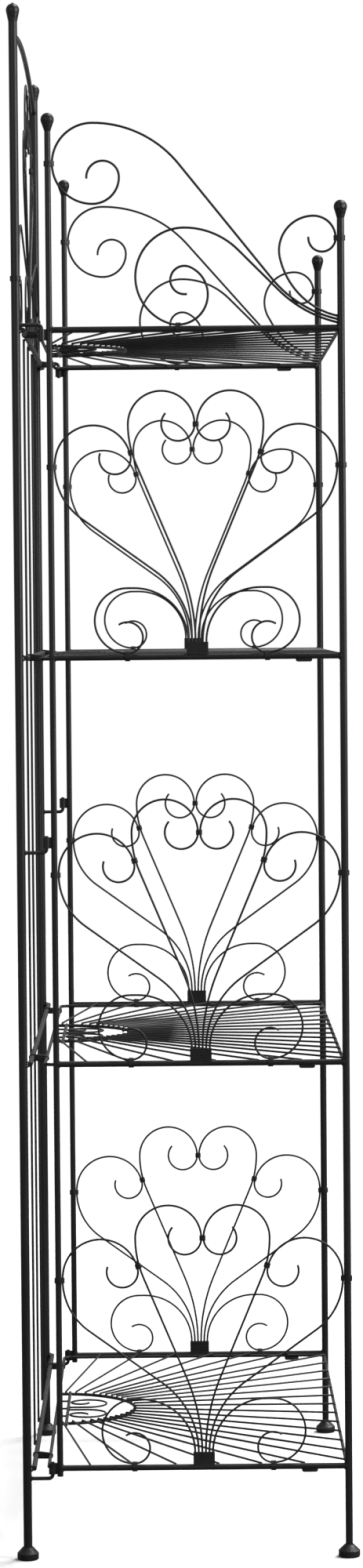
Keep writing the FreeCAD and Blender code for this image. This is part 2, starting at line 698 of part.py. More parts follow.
def shelf_frame(tier):
    """Bent rod frame: four straight rods and four corner bends that meet end to end."""
    z = TIER_HEIGHT[tier] - SHELF_DROP
    corner = SHELF_CORNER_R
    rods = []
    for y, inward in ((FRONT_ROD_Y, 1), (REAR_ROD_Y, -1)):
        def place(p, y=y, inward=inward):
            return Vector(p[0], y + inward * p[1], z)
        left = ((-SHELF_HALF + corner, corner), corner, 1)
        right = ((SHELF_HALF - corner, corner), corner, 1)
        rods.append(rod(place(on_circle(left, 0)), place(on_circle(right, 0)), SHELF_R))
        rods += [sweep([bend], SHELF_R, place) for bend in (arc(left, -90, 0), arc(right, 0, 90))]
    for x in (-SHELF_HALF, SHELF_HALF):
        rods.append(rod(Vector(x, REAR_ROD_Y - corner, z), Vector(x, FRONT_ROD_Y + corner, z), SHELF_R))
    return rods


def medallion(tier, outline):
    """Half-round grille at the middle of the shelf's back edge, with its base rod and struts."""
    place = shelf_plane(tier)
    end = MEDALLION_WIDTH / 2 + MEDALLION_BASE_OVERHANG
    solids = [sweep(outline, SHELF_R, place), rod(place((-end, 0)), place((end, 0)), SHELF_R)]
    for i in range(STRUTS):
        u = (i - (STRUTS - 1) / 2) * STRUT_PITCH
        # the outermost two are as thick as the frame, and carry the rearmost wires
        radius = SHELF_R if i in (0, STRUTS - 1) else SHELF_WIRE_R
        solids.append(rod(place((u, -MEDALLION_SETBACK + SHELF_R + TOUCH)),
                          place((u, -SHELF_R - TOUCH)), radius))
    # the curls end in a tighter turn that lies on the base rod
    lift = (SHELF_CURL_R - SHELF_CURL_INNER_R) * math.cos(math.radians(320))
    curl_v = SHELF_R + WIRE_R + TOUCH + SHELF_CURL_INNER_R + lift
    stem = [(-SHELF_CURL_U, SHELF_R + TOUCH), (-SHELF_CURL_U, curl_v)]
    curl = circle_through(stem[1], 90, SHELF_CURL_R, 1)
    path = [stem, arc(curl, 90, 320), arc(joined_circle(curl, 320, SHELF_CURL_INNER_R), 320, 520)]
    for wire in (path, mirrored(path)):
        solids.append(sweep(wire, WIRE_R, place))
    return solids


def hinge_lug(x, tier):
    """Plate that turns on the back rail and holds the shelf's rear rod."""
    z = TIER_HEIGHT[tier]
    origin = Vector(x, HINGE_ROD_Y, z)
    to_rear = Vector(x, REAR_ROD_Y, z - SHELF_DROP) - origin
    reach = to_rear.Length
    across = to_rear.normalize()
    along = Vector(1, 0, 0)
    depth = across.cross(along)
    plate = belt_solid(belt(BACK_RAIL_R, SHELF_R, reach, LUG_WALL), origin, across, depth, along, LUG_WIDTH)
    for start, radius in ((origin, BACK_RAIL_R), (origin + across * reach, SHELF_R)):
        bore = rod(start - along * LUG_WIDTH, start + along * LUG_WIDTH, radius + LUG_CLEARANCE)
        plate = plate.cut(bore)
    return plate


def shelf(tier):
    outline, side, front = medallion_outline()
    lug_x = SHELF_HALF - LUG_INSET
    save(tier + "_shelf_frame", shelf_frame(tier))
    save(tier + "_shelf_wires", shelf_wires(tier, side, front))
    save(tier + "_shelf_medallion", medallion(tier, outline))
    save(tier + "_shelf_hinge_lugs", [hinge_lug(-lug_x, tier), hinge_lug(lug_x, tier)])


# ---------------------------------------------------------------- back panel

def back_scroll_paths():
    """Left half of the scrollwork over the top back rail, and the two circles that meet."""
    foot_v = 2 * TOUCH
    binder_v = binder_top(BACK_RAIL_R)

    inner = ((-(BACK_INNER_R + WIRE_STEP / 2), BACK_INNER_V), BACK_INNER_R, -1)
    inner_rise = joined_circle(inner, 90, BACK_INNER_RISE_R)
    inner_path = fan_wire(1, foot_v, binder_v, BACK_INNER_BEND_R,
                          [inner_rise, inner, joined_circle(inner, -90, BACK_INNER_CURL_R)],
                          [90, -90, -318])

    middle_rise = edge_circle(BACK_MIDDLE_U, BACK_MIDDLE_V, BACK_MIDDLE_RISE_R)
    middle = wedged_circle(middle_rise, 90, inner_rise)
    middle_path = fan_wire(2, foot_v, binder_v, BACK_MIDDLE_BEND_R,
                           [middle_rise, middle, joined_circle(middle, -78, BACK_MIDDLE_CURL_R)],
                           [90, -78, -297])

    # the outer scrolls run out low over the base ones and come down along the posts
    outer = ((back_edge() + BACK_OUTER_R, BACK_OUTER_V), BACK_OUTER_R, 1)
    shoulder = joined_circle(outer, 235, BACK_OUTER_SHOULDER_R)
    outer_path = fan_wire(3, foot_v, binder_v, BACK_OUTER_BEND_R,
                          [shoulder, outer, joined_circle(outer, 360, BACK_OUTER_CURL_R)],
                          [235, 360, 580])

    base = ((-BACK_BASE_U, BACK_BASE_TOP - BACK_BASE_R), BACK_BASE_R, 1)
    base_path = fan_wire(4, foot_v, binder_v, BACK_BASE_TOP - binder_v,
                         [base, joined_circle(base, 360, BACK_BASE_CURL_R)], [360, 580])
    return [inner_path, middle_path, outer_path, base_path], (inner_rise, middle)


def back_edge():
    """Where a wire in the scrollwork plane lies against the left post."""
    behind = POST_Y - BACK_PLANE_Y
    return math.sqrt((POST_R + WIRE_R + TOUCH) ** 2 - behind ** 2) - FRAME_WIDTH / 2


def pintle(x, z, turn_up, pin_end):
    """L-shaped hinge rod: forward out of the post, then up or down through the knuckle."""
    path = [
        [(0, 0), (POST_TO_PIN - PINTLE_BEND_R, 0)],
        arc(((POST_TO_PIN - PINTLE_BEND_R, PINTLE_BEND_R), PINTLE_BEND_R, 1), 0, 90),
        [(POST_TO_PIN, PINTLE_BEND_R), (POST_TO_PIN, pin_end)],
    ]
    return sweep(path, PINTLE_R, lambda p: Vector(x, POST_Y - p[0], z + turn_up * p[1]))


def back_panel():
    posts = []
    for name, side in (("left", -1), ("right", 1)):
        x = side * FRAME_WIDTH / 2
        posts.append(Part.makeCylinder(POST_R, POST_TOP, Vector(x, POST_Y, 0), UP))
        post_end = tube_top(POST_TOP, PEAK_RISE)
        save(name + "_back_post", [tube(x, POST_Y, FOOT_FLOOR, post_end, POST_R)])

        pin_end = PINTLE_BEND_R + KNUCKLE_GAP + KNUCKLE_HEIGHT + PIN_PROUD
        save(name + "_hinge_pintles",
             [pintle(x, z, up, pin_end).cut(posts[-1]) for z, up in pintle_heights(name)])

    ends = [side * FRAME_WIDTH / 2 for side in (-1, 1)]
    save("back_finials", [finial(x, POST_Y, POST_TOP, POST_R, PEAK_RISE) for x in ends])
    save("back_feet", [foot(x, POST_Y, POST_R) for x in ends])
    save("back_rails", [rod(Vector(ends[0], HINGE_ROD_Y, TIER_HEIGHT[t]),
                            Vector(ends[1], HINGE_ROD_Y, TIER_HEIGHT[t]), BACK_RAIL_R) for t in TIERS])

    low = TIER_HEIGHT["bottom"] - BACK_RAIL_R - UPRIGHT_BELOW
    high = TIER_HEIGHT["top"] - 2 * TOUCH
    uprights = []
    for i in range(UPRIGHTS):
        x = (i - (UPRIGHTS - 1) / 2) * UPRIGHT_PITCH
        uprights.append(rod(Vector(x, UPRIGHT_Y, low), Vector(x, UPRIGHT_Y, high), UPRIGHT_R))
    save("back_uprights", uprights)

    def arch_place(p):
        return Vector(p[0], POST_Y, ARCH_SPRING_Z + p[1])
    slope = math.radians(ARCH_SPRING_ANGLE)
    spring = (ends[0], 0)
    stub = (ends[0] + ARCH_STUB * math.cos(slope), ARCH_STUB * math.sin(slope))
    crown = circle_through(stub, ARCH_SPRING_ANGLE, -stub[0] / math.sin(slope), -1)
    path = [[spring, stub], arc(crown, ARCH_SPRING_ANGLE, -ARCH_SPRING_ANGLE),
            [(-stub[0], stub[1]), (-spring[0], spring[1])]]
    save("back_arch", [sweep(path, ARCH_R, arch_place).cut(posts[0]).cut(posts[1])])

    halves, pair = back_scroll_paths()
    paths = halves + [mirrored(path) for path in halves]
    save("back_scrolls", [sweep(path, WIRE_R, back_plane) for path in paths])
    save("back_scroll_binder", [binder(back_plane, len(paths), BACK_RAIL_R)])
    collars = [flat_collar(back_plane, (-WIRE_STEP / 2, BACK_INNER_V), 0, WIRE_R, WIRE_R)]
    collars += twin_collars(back_plane, *pair)
    for side in (-1, 1):
        post = Vector(side * FRAME_WIDTH / 2, POST_Y, TIER_HEIGHT["top"] + BACK_OUTER_V)
        wire = back_plane((-side * back_edge(), BACK_OUTER_V))
        collars.append(collar(post, POST_R, wire, WIRE_R, UP))
    save("back_scroll_collars", collars)


# ---------------------------------------------------------------- the whole rack

back_panel()
for side_name, side_sign in (("left", -1), ("right", 1)):
    side_frame(side_name, side_sign)
for tier_name in TIERS:
    shelf(tier_name)
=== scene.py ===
import json
import math

import bpy
from mathutils import Matrix, Vector, noise


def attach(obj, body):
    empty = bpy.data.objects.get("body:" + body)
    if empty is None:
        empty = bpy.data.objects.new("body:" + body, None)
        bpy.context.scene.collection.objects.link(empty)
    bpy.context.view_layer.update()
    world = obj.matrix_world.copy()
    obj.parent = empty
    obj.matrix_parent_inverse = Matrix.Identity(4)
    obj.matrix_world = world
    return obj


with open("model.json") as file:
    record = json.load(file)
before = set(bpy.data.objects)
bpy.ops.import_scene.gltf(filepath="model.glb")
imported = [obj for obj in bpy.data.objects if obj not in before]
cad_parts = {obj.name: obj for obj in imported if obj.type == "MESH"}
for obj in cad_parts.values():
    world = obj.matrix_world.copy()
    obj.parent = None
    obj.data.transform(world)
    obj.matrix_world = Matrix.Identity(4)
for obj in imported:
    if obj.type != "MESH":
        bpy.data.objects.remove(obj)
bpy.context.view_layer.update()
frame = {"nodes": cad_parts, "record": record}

# Places and sizes on the rack are those of the CAD frame, in millimetres: X across the rack, Y from
# the legs to the back posts, Z up. A name that ends in _R is a radius.
MM = 0.001
BOTH = (-1, 1)
TIERS = {"bottom": 108.0, "lower": 587.0, "upper": 1065.0, "top": 1448.0}
SIDES = {"left": -365.0, "right": 365.0}
POST_Y, LEG_Y, STILE_Y, FRAME_MID_Y = 190.0, -190.0, 151.0, -19.15
POST_R, LEG_R, STILE_R, RAIL_R, ARCH_R, PINTLE_R = 5.15, 4.3, 3.6, 3.5, 3.0, 2.2
PINTLE_Z = {"left": (1453.8, 836.5, 96.0), "right": (1453.8, 849.0, 96.0)}
KNUCKLE_BOTTOM = {"left": (1435.7, 841.6, 101.1), "right": (1435.7, 854.1, 101.1)}
ARCH_Z = 1789.7                  # the arch's middle where it runs into the posts
UPRIGHTS, UPRIGHT_PITCH = 4, 140.0

# The shelves. U runs across from the middle, V forward from the medallion's base rod.
REAR_ROD_Y, BASE_ROD_Y, FRONT_ROD_Y = 164.8, 150.8, -188.0
SHELF_HALF = 356.0               # side rods' middles from the shelf's middle
SHELF_DROP = 1.2                 # rods' middles below the tier's height
FAN_CENTRE = -20.0               # V of the point from which the wires spread
FRONT_WIRES, FRONT_WIRE_PITCH = 13, 56.8
SIDE_WIRES, SIDE_WIRE_PITCH = 6, 50.8
SIDE_WIRE_FIRST = 50.0           # first side wire's end behind the front rod
STRUTS, STRUT_PITCH = 5, 48.0
CURL_U = 8.0                     # the two curls' stems from the shelf's middle
LUG_X = 287.0                    # the two hinge lugs' middles
FRONT_ARC_V, FRONT_ARC_R = -12.0, 97.0           # the medallion's arcs: middle and radius
SIDE_ARC_U, SIDE_ARC_R = 35.0, 60.0
HANDOVER_U = 91.8                # where the front arc runs into the side arcs


def new_object(name, data):
    """An object in the scene."""
    made = bpy.data.objects.new(name, data)
    bpy.context.scene.collection.objects.link(made)
    return made


def turns(count):
    """The angles of so many even steps round a circle."""
    return [2 * math.pi * k / count for k in range(count)]


def spread(count, pitch):
    """So many places a pitch apart, with their middle at 0."""
    return [(i - (count - 1) / 2) * pitch for i in range(count)]


# ------------------------------------------------------------------ camera
# Fitted to the places of the posts, rails and legs in the photograph, which is taken from the
# rack's left, a little over half its height.
CAMERA_PLACE = (-5.1112, 0.0132, 1.1156)         # metres
CAMERA_TURN = (-0.148, -2.409, -0.485)           # yaw, pitch and roll in degrees
LENS, SENSOR_HEIGHT = 92.95, 36.0
FAR_CLIP = 60


def place_camera():
    yaw, pitch, roll = (math.radians(angle) for angle in CAMERA_TURN)
    forward = Vector((math.cos(pitch) * math.cos(yaw), math.cos(pitch) * math.sin(yaw),
                      math.sin(pitch)))
    level = forward.cross(Vector((0, 0, 1))).normalized()
    above = level.cross(forward)
    right = level * math.cos(roll) + above * math.sin(roll)
    up = right.cross(forward)
    data = bpy.data.cameras.new("camera")
    data.sensor_fit = "VERTICAL"
    data.sensor_height = SENSOR_HEIGHT
    data.lens = LENS
    data.clip_end = FAR_CLIP
    camera = new_object("camera", data)
    turn = Matrix((right, up, -forward)).transposed().to_4x4()
    camera.matrix_world = Matrix.Translation(Vector(CAMERA_PLACE)) @ turn
    bpy.context.scene.camera = camera


# ------------------------------------------------------------------ materials
class Nodes:
    """Short names for building the nodes of a material or of the world."""

    def __init__(self, owner):
        owner.use_nodes = True
        self.tree = owner.node_tree
        self.tree.nodes.clear()

    def add(self, kind, settings=None, **inputs):
        node = self.tree.nodes.new(kind)
        for key, value in (settings or {}).items():
            setattr(node, key, value)
        for key, value in inputs.items():
            self.put(node, key.replace("_", " "), value)
        return node

    def put(self, node, socket, value):
        """Links or sets an input, which goes by its name or by # and its number."""
        target = node.inputs[int(socket[1:])] if socket[0] == "#" else node.inputs[socket]
        if isinstance(value, bpy.types.NodeSocket):
            self.tree.links.new(value, target)
        else:
            target.default_value = value

    def noise(self, vector, scale, detail, rough):
        node = self.add("ShaderNodeTexNoise", Vector=vector, Scale=scale, Detail=detail,
                        Roughness=rough)
        return node.outputs["Fac"]

    def ramp(self, value, band, bottom=0.0, top=1.0):
        """Turns the two ends of a band of values into bottom and top."""
        node = self.add("ShaderNodeMapRange", {"clamp": True}, Value=value, From_Min=band[0],
                        From_Max=band[1], To_Min=bottom, To_Max=top)
        return node.outputs["Result"]

    def math(self, operation, first, second):
        node = self.add("ShaderNodeMath", {"operation": operation})
        self.put(node, "#0", first)
        self.put(node, "#1", second)
        return node.outputs[0]

    def blend(self, share, first, second):
        """Mixes two colours, which are inputs 6 and 7 of the Mix node."""
        node = self.add("ShaderNodeMix", {"data_type": "RGBA"})
        self.put(node, "#0", share)
        self.put(node, "#6", first)
        self.put(node, "#7", second)
        return node.outputs[2]

    def bump(self, height, strength, depth, **under):
        node = self.add("ShaderNodeBump", Strength=strength, Distance=depth, Height=height, **under)
        return node.outputs["Normal"]


def grey(value, warm=0.0):
    """A grey with that share more red and less blue."""
    return (value * (1 + warm), value, value * (1 - warm), 1.0)


# Noises: scale per metre, detail and roughness.
MOTTLE_NOISE, CLOUD_NOISE = (34.0, 5.0, 0.62), (7.0, 2.0, 0.5)
SKIN_NOISE, SPECK_NOISE, PIT_NOISE = (1150.0, 2.0, 0.5), (420.0, 3.0, 0.7), (320.0, 2.0, 0.6)
# Bands of those noises, or of how far a face points up, over which each effect comes in.
SHADE_BAND, CLOUD_BAND, GLOSS_BAND = (0.34, 0.70), (0.45, 0.75), (0.30, 0.72)
SPOT_BAND, WEAR_BAND = (0.66, 0.74), (0.46, 0.60)
UPWARD_BAND, DUST_BAND, PIT_BAND = (0.45, 0.95), (0.36, 0.62), (0.30, 0.62)
# Shades: share of the paint's tone and warmth. Rubbed spots and dust: grey and warmth.
DARK, LIGHT, HAZE = (0.72, -0.01), (1.5, 0.012), (2.1, 0.02)
RUBBED, DUST = (0.105, 0.03), (0.085, 0.045)
HAZE_COVER, RUBBED_COVER = 0.35, 0.5
SMOOTHER, ROUGHER = 0.07, 0.09   # how far the mottling takes the roughness down and up
DUST_ROUGHNESS, RUBBED_GLOSS = 0.5, 0.10
# Bumps: strength and depth in metres.
SKIN_BUMP, WAVE_BUMP, PIT_BUMP = (0.55, 0.00012), (0.6, 0.0005), (0.8, 0.0004)
SHINE, COAT, COAT_ROUGHNESS = 0.36, 0.06, 0.28


def paint(name, tone, roughness, peel, pits=0.0, streak=1.0, rub=0.0, dust=0.35):
    """Satin black powder coat: mottled tone, orange peel, thin rubbed spots and settled dust.

    peel is the depth of the fine skin, pits of a coarser cast one; streak stretches the mottling
    along the tube, rub is the share of rubbed spots, and dust lies on what faces up.
    """
    material = bpy.data.materials.new(name)
    t = Nodes(material)
    coords = t.add("ShaderNodeTexCoord").outputs["Object"]
    stretched = t.add("ShaderNodeMapping", Vector=coords, Scale=(1.0, 1.0, 1.0 / streak))
    mottle = t.noise(stretched.outputs["Vector"], *MOTTLE_NOISE)
    cloud = t.noise(coords, *CLOUD_NOISE)
    skin = t.noise(coords, *SKIN_NOISE)
    speck = t.noise(coords, *SPECK_NOISE)

    dark, light, haze = (grey(tone * share, warm) for share, warm in (DARK, LIGHT, HAZE))
    colour = t.blend(t.ramp(mottle, SHADE_BAND), dark, light)
    colour = t.blend(t.ramp(cloud, CLOUD_BAND, 0.0, HAZE_COVER), colour, haze)
    spots = t.ramp(speck, [edge - rub for edge in SPOT_BAND])
    rubbed = t.math("MULTIPLY", spots, t.ramp(mottle, WEAR_BAND))
    colour = t.blend(t.math("MULTIPLY", rubbed, RUBBED_COVER), colour, grey(*RUBBED))
    normal = t.add("ShaderNodeNewGeometry").outputs["Normal"]
    facing = t.add("ShaderNodeSeparateXYZ", Vector=normal).outputs["Z"]
    settled = t.math("MULTIPLY", t.ramp(facing, UPWARD_BAND, 0.0, dust), t.ramp(speck, DUST_BAND))
    colour = t.blend(settled, colour, grey(*DUST))

    rough = t.ramp(mottle, GLOSS_BAND, roughness - SMOOTHER, roughness + ROUGHER)
    rough = t.math("ADD", rough, t.math("MULTIPLY", settled, DUST_ROUGHNESS))
    rough = t.math("SUBTRACT", rough, t.math("MULTIPLY", rubbed, RUBBED_GLOSS))

    surface = t.bump(skin, SKIN_BUMP[0], SKIN_BUMP[1] * peel)
    surface = t.bump(mottle, *WAVE_BUMP, Normal=surface)
    if pits:
        dimple = t.ramp(t.noise(coords, *PIT_NOISE), PIT_BAND)
        surface = t.bump(dimple, PIT_BUMP[0], PIT_BUMP[1] * pits, Normal=surface)
    shader = t.add("ShaderNodeBsdfPrincipled", Base_Color=colour, Roughness=rough, Normal=surface,
                   Specular_IOR_Level=SHINE, Coat_Weight=COAT, Coat_Roughness=COAT_ROUGHNESS)
    t.add("ShaderNodeOutputMaterial", Surface=shader.outputs["BSDF"])
    return material


FINISHES = {
    "tube_paint": dict(tone=0.0085, roughness=0.40, peel=1.0, streak=5.0, rub=0.012, dust=0.25),
    "rod_paint": dict(tone=0.0085, roughness=0.42, peel=1.0, rub=0.015, dust=0.40),
    "wire_paint": dict(tone=0.0090, roughness=0.44, peel=0.8, rub=0.02),
    "collar_paint": dict(tone=0.0075, roughness=0.48, peel=1.6, pits=0.5, rub=0.01, dust=0.40),
    "casting_paint": dict(tone=0.0080, roughness=0.36, peel=1.4, pits=0.8, rub=0.02),
    "hinge_paint": dict(tone=0.0085, roughness=0.40, peel=1.0, rub=0.07, dust=0.30),
    "weld_paint": dict(tone=0.0075, roughness=0.46, peel=2.0, pits=1.0),
}
PAINTS = {name: paint(name, **finish) for name, finish in FINISHES.items()}


def dress_nodes():
    for subpart in frame["record"]["subparts"]:
        node = frame["nodes"][subpart["node"]]
        material = PAINTS[subpart["material_slot"]]
        if not node.material_slots:
            node.data.materials.append(material)
        for slot in node.material_slots:
            slot.material = material


# ------------------------------------------------------------------ welds
# The rack's pieces are welded where they meet. A bead is a lumpy ring or line of weld, a spot is
# one drop of it.
BEAD_SIDES, BEAD_STEP, FEWEST_POINTS = 8, 1.3, 4
LUMP_DEPTH, LUMP_SCALE = 0.28, 0.9               # depths are shares of a bead's or spot's radius
RIPPLE_DEPTH, RIPPLE_STEP = 0.12, 2.4
BEAD_TIP = 0.25                  # share of its thickness that an open bead has at its ends
SPOT_RINGS, SPOT_SIDES = 5, 10
SPOT_LUMP_DEPTH = 0.16
SPOT_LUMP_SCALE, SPOT_LUMP_TURN = 0.7, 2         # from spot to spot, and round one
SADDLE_POINTS = 28
SADDLE_PROUD, SADDLE_SPREAD = 0.15, 1.03         # off the tube, and wider than the rod

BEAD_R = {"pintle": 0.75, "arch": 0.85, "back_binder": 0.8, "stile": 0.75, "leg": 0.8, "tab": 0.6,
          "fan_binder": 0.8, "web": 0.55, "lug": 0.55}
SPOT_HALF = {"post": (3.4, 1.5, 1.2), "upright": (0.9, 0.9, 1.7), "spray": (1.7, 1.7, 1.8),
             "side_rod": (2.0, 1.5, 1.0), "front_rod": (1.5, 2.0, 1.0),
             "medallion": (1.6, 1.6, 1.0), "strut": (1.7, 0.9, 1.5), "curl": (1.8, 0.9, 1.6)}

# Rises and drops are from the tier's height, or from the lower end of a knuckle. A side is how far
# to the left and right of a piece's middle its welds lie.
# Back panel: behind the back rails, and where the scrolls' binder stands on the top one.
POST_WELD_Y, POST_WELD_RISE = 184.7, 2.6
UPRIGHT_WELD_Y, UPRIGHT_WELD_SIDE = 185.0, 1.2
TOP_UPRIGHT_DROP = 1.2           # the uprights end at the top rail
BINDER_WELD_HALF, BINDER_WELD_Y, BINDER_WELD_Z = 16.5, 184.1, 1450.9
# Side frames: the shelves' tabs, the fans' binders, the knuckles' webs and the spray of three wires
# that leaves the leg.
TAB_WELD_Y, TAB_WELD_SIDE, TAB_WELD_DROP = (-152.5, -135.5), 1.9, 3.1
FAN_WELD_HALF, FAN_WELD_SIDE, FAN_WELD_RISE = 12.3, 2.5, 3.0
WEB_WELD_Y, WEB_WELD_SIDE, WEB_WELD_RISE = 154.25, 1.7, (0.6, 12.4)
SPRAY_WELD_Y, SPRAY_WELD_RISE = -185.4, (6.2, 10.0, 13.8)
# Shelves: on the wires, where the struts and curls meet the rods, and round the rear rod at a lug.
WIRE_WELD_RISE = 1.0
STRUT_WELD_OUT, CURL_WELD_OUT = 2.1, 2.2
LUG_WELD_SIDE, LUG_RING_R, LUG_RING_POINTS = 2.9, 2.15, 20


class Welds:
    """Collects the welds of one body and makes them one piece."""

    def __init__(self):
        self.points, self.faces = [], []

    def bead(self, path, radius, closed):
        """A lumpy cord of weld along a path in millimetres."""
        path = [Vector(p) for p in path]
        sides, count, base = BEAD_SIDES, len(path), len(self.points)
        for i, point in enumerate(path):
            before = path[(i - 1) % count] if closed or i else point
            after = path[(i + 1) % count] if closed or i < count - 1 else point
            along = (after - before).normalized()
            across = along.orthogonal() if i == 0 else across - along * across.dot(along)
            across.normalize()
            depth = along.cross(across)
            swell = 1 + LUMP_DEPTH * noise.noise(point * LUMP_SCALE)
            swell += RIPPLE_DEPTH * math.sin(RIPPLE_STEP * i)
            if not closed and i in (0, count - 1):
                swell *= BEAD_TIP
            reach = radius * swell
            for turn in turns(sides):
                way = across * math.cos(turn) + depth * math.sin(turn)
                self.points.append(point + way * reach)
        for i in range(count if closed else count - 1):
            step = sides if i < count - 1 else -(count - 1) * sides
            for k in range(sides):
                a, b = base + i * sides + k, base + i * sides + (k + 1) % sides
                self.faces.append((a, b, b + step, a + step))
        if not closed:
            self.faces.append(tuple(base + k for k in reversed(range(sides))))
            self.faces.append(tuple(base + (count - 1) * sides + k for k in range(sides)))

    def spot(self, centre, half):
        """A drop of weld with half sizes along X, Y and Z, in millimetres."""
        centre = Vector(centre)
        rings, sides, base = SPOT_RINGS, SPOT_SIDES, len(self.points)
        self.points.append(centre - Vector((0, 0, half[2])))
        for r in range(1, rings):
            lean = math.pi * r / rings - math.pi / 2
            for turn in turns(sides):
                way = Vector((math.cos(lean) * math.cos(turn), math.cos(lean) * math.sin(turn),
                              math.sin(lean)))
                lump = noise.noise(centre * SPOT_LUMP_SCALE + way * SPOT_LUMP_TURN)
                swell = 1 + SPOT_LUMP_DEPTH * lump
                self.points.append(centre + Vector(w * h * swell for w, h in zip(way, half)))
        self.points.append(centre + Vector((0, 0, half[2])))
        last = len(self.points) - 1
        for k in range(sides):
            after = (k + 1) % sides
            self.faces.append((base, base + 1 + after, base + 1 + k))
            for r in range(rings - 2):
                low, high = base + 1 + r * sides, base + 1 + (r + 1) * sides
                self.faces.append((low + k, low + after, high + after, high + k))
            top = base + 1 + (rings - 2) * sides
            self.faces.append((top + k, top + after, last))

    def saddle(self, middle, way, tube_r, rod_r, radius):
        """The ring where a rod runs into the side of an upright tube.

        middle is the point of the tube's middle line that the rod's own runs to, and way the
        direction in which the rod leaves the tube, along X or along Y.
        """
        path = []
        for turn in turns(SADDLE_POINTS):
            across = rod_r * math.sin(turn)
            out = math.sqrt(max(tube_r ** 2 - across ** 2, 0.0)) + SADDLE_PROUD
            across *= SADDLE_SPREAD
            path.append((middle[0] + way[0] * out + abs(way[1]) * across,
                         middle[1] + way[1] * out + abs(way[0]) * across,
                         middle[2] + rod_r * SADDLE_SPREAD * math.cos(turn)))
        self.bead(path, radius, True)

    def line(self, start, end, radius):
        """A straight bead."""
        start, end = Vector(start), Vector(end)
        count = max(FEWEST_POINTS, int((end - start).length / BEAD_STEP))
        self.bead([start.lerp(end, i / (count - 1)) for i in range(count)], radius, False)

    def pair(self, start, end, side, radius):
        """Two straight beads, one so far to each side of the line between two points."""
        for shift in (-side, side):
            self.line(*((x + shift, y, z) for x, y, z in (start, end)), radius)

    def piece(self, name, body):
        mesh = bpy.data.meshes.new(name)
        mesh.from_pydata([p * MM for p in self.points], [], self.faces)
        mesh.update()
        for face in mesh.polygons:
            face.use_smooth = True
        mesh.materials.append(PAINTS["weld_paint"])
        piece = new_object(name, mesh)
        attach(piece, body)


def back_welds():
    welds = Welds()
    for name, x in SIDES.items():
        for z in PINTLE_Z[name]:
            welds.saddle((x, POST_Y, z), (0, -1), POST_R, PINTLE_R, BEAD_R["pintle"])
        inward = -math.copysign(1, x)
        welds.saddle((x, POST_Y, ARCH_Z), (inward, 0), POST_R, ARCH_R, BEAD_R["arch"])
        for tier in TIERS.values():
            for turn in BOTH:
                welds.spot((x, POST_WELD_Y, tier + turn * POST_WELD_RISE), SPOT_HALF["post"])
    for tier in TIERS.values():
        z = tier - (TOP_UPRIGHT_DROP if tier == TIERS["top"] else 0)
        for x in spread(UPRIGHTS, UPRIGHT_PITCH):
            for turn in BOTH:
                welds.spot((x + turn * UPRIGHT_WELD_SIDE, UPRIGHT_WELD_Y, z), SPOT_HALF["upright"])
    ends = [(turn * BINDER_WELD_HALF, BINDER_WELD_Y, BINDER_WELD_Z) for turn in BOTH]
    welds.line(*ends, BEAD_R["back_binder"])
    welds.piece("back_welds", "back_panel")


def side_welds(name, x):
    welds = Welds()
    for tier in TIERS.values():
        welds.saddle((x, STILE_Y, tier), (0, -1), STILE_R, RAIL_R, BEAD_R["stile"])
        welds.saddle((x, LEG_Y, tier), (0, 1), LEG_R, RAIL_R, BEAD_R["leg"])
        ends = [(x, y, tier - TAB_WELD_DROP) for y in TAB_WELD_Y]
        welds.pair(*ends, TAB_WELD_SIDE, BEAD_R["tab"])
        if tier < TIERS["top"]:
            ends = [(x, FRAME_MID_Y + turn * FAN_WELD_HALF, tier + FAN_WELD_RISE) for turn in BOTH]
            welds.pair(*ends, FAN_WELD_SIDE, BEAD_R["fan_binder"])
    for bottom in KNUCKLE_BOTTOM[name]:
        ends = [(x, WEB_WELD_Y, bottom + rise) for rise in WEB_WELD_RISE]
        welds.pair(*ends, WEB_WELD_SIDE, BEAD_R["web"])
    for rise in SPRAY_WELD_RISE:
        welds.spot((x, SPRAY_WELD_Y, TIERS["top"] + rise), SPOT_HALF["spray"])
    welds.piece(name + "_frame_welds", name + "_side_frame")


def leave_circle(aim, middle, radius):
    """Where a shelf wire, on its way from the fan's centre to its end, leaves a circle."""
    d_u, d_v = aim[0], aim[1] - FAN_CENTRE
    o_u, o_v = -middle[0], FAN_CENTRE - middle[1]
    a, b = d_u ** 2 + d_v ** 2, d_u * o_u + d_v * o_v
    share = (-b + math.sqrt(b * b - a * (o_u ** 2 + o_v ** 2 - radius ** 2))) / a
    return share * d_u, share * d_v + FAN_CENTRE


def wire_start(aim):
    """Where a shelf wire starts: on the medallion's front or side arc or an outermost strut."""
    start = leave_circle(aim, (0.0, FRONT_ARC_V), FRONT_ARC_R)
    if abs(start[0]) > HANDOVER_U:
        start = leave_circle(aim, (math.copysign(SIDE_ARC_U, aim[0]), 0.0), SIDE_ARC_R)
    if start[1] < 0:
        share = (STRUTS - 1) / 2 * STRUT_PITCH / abs(aim[0])
        start = (share * aim[0], share * (aim[1] - FAN_CENTRE) + FAN_CENTRE)
    return start


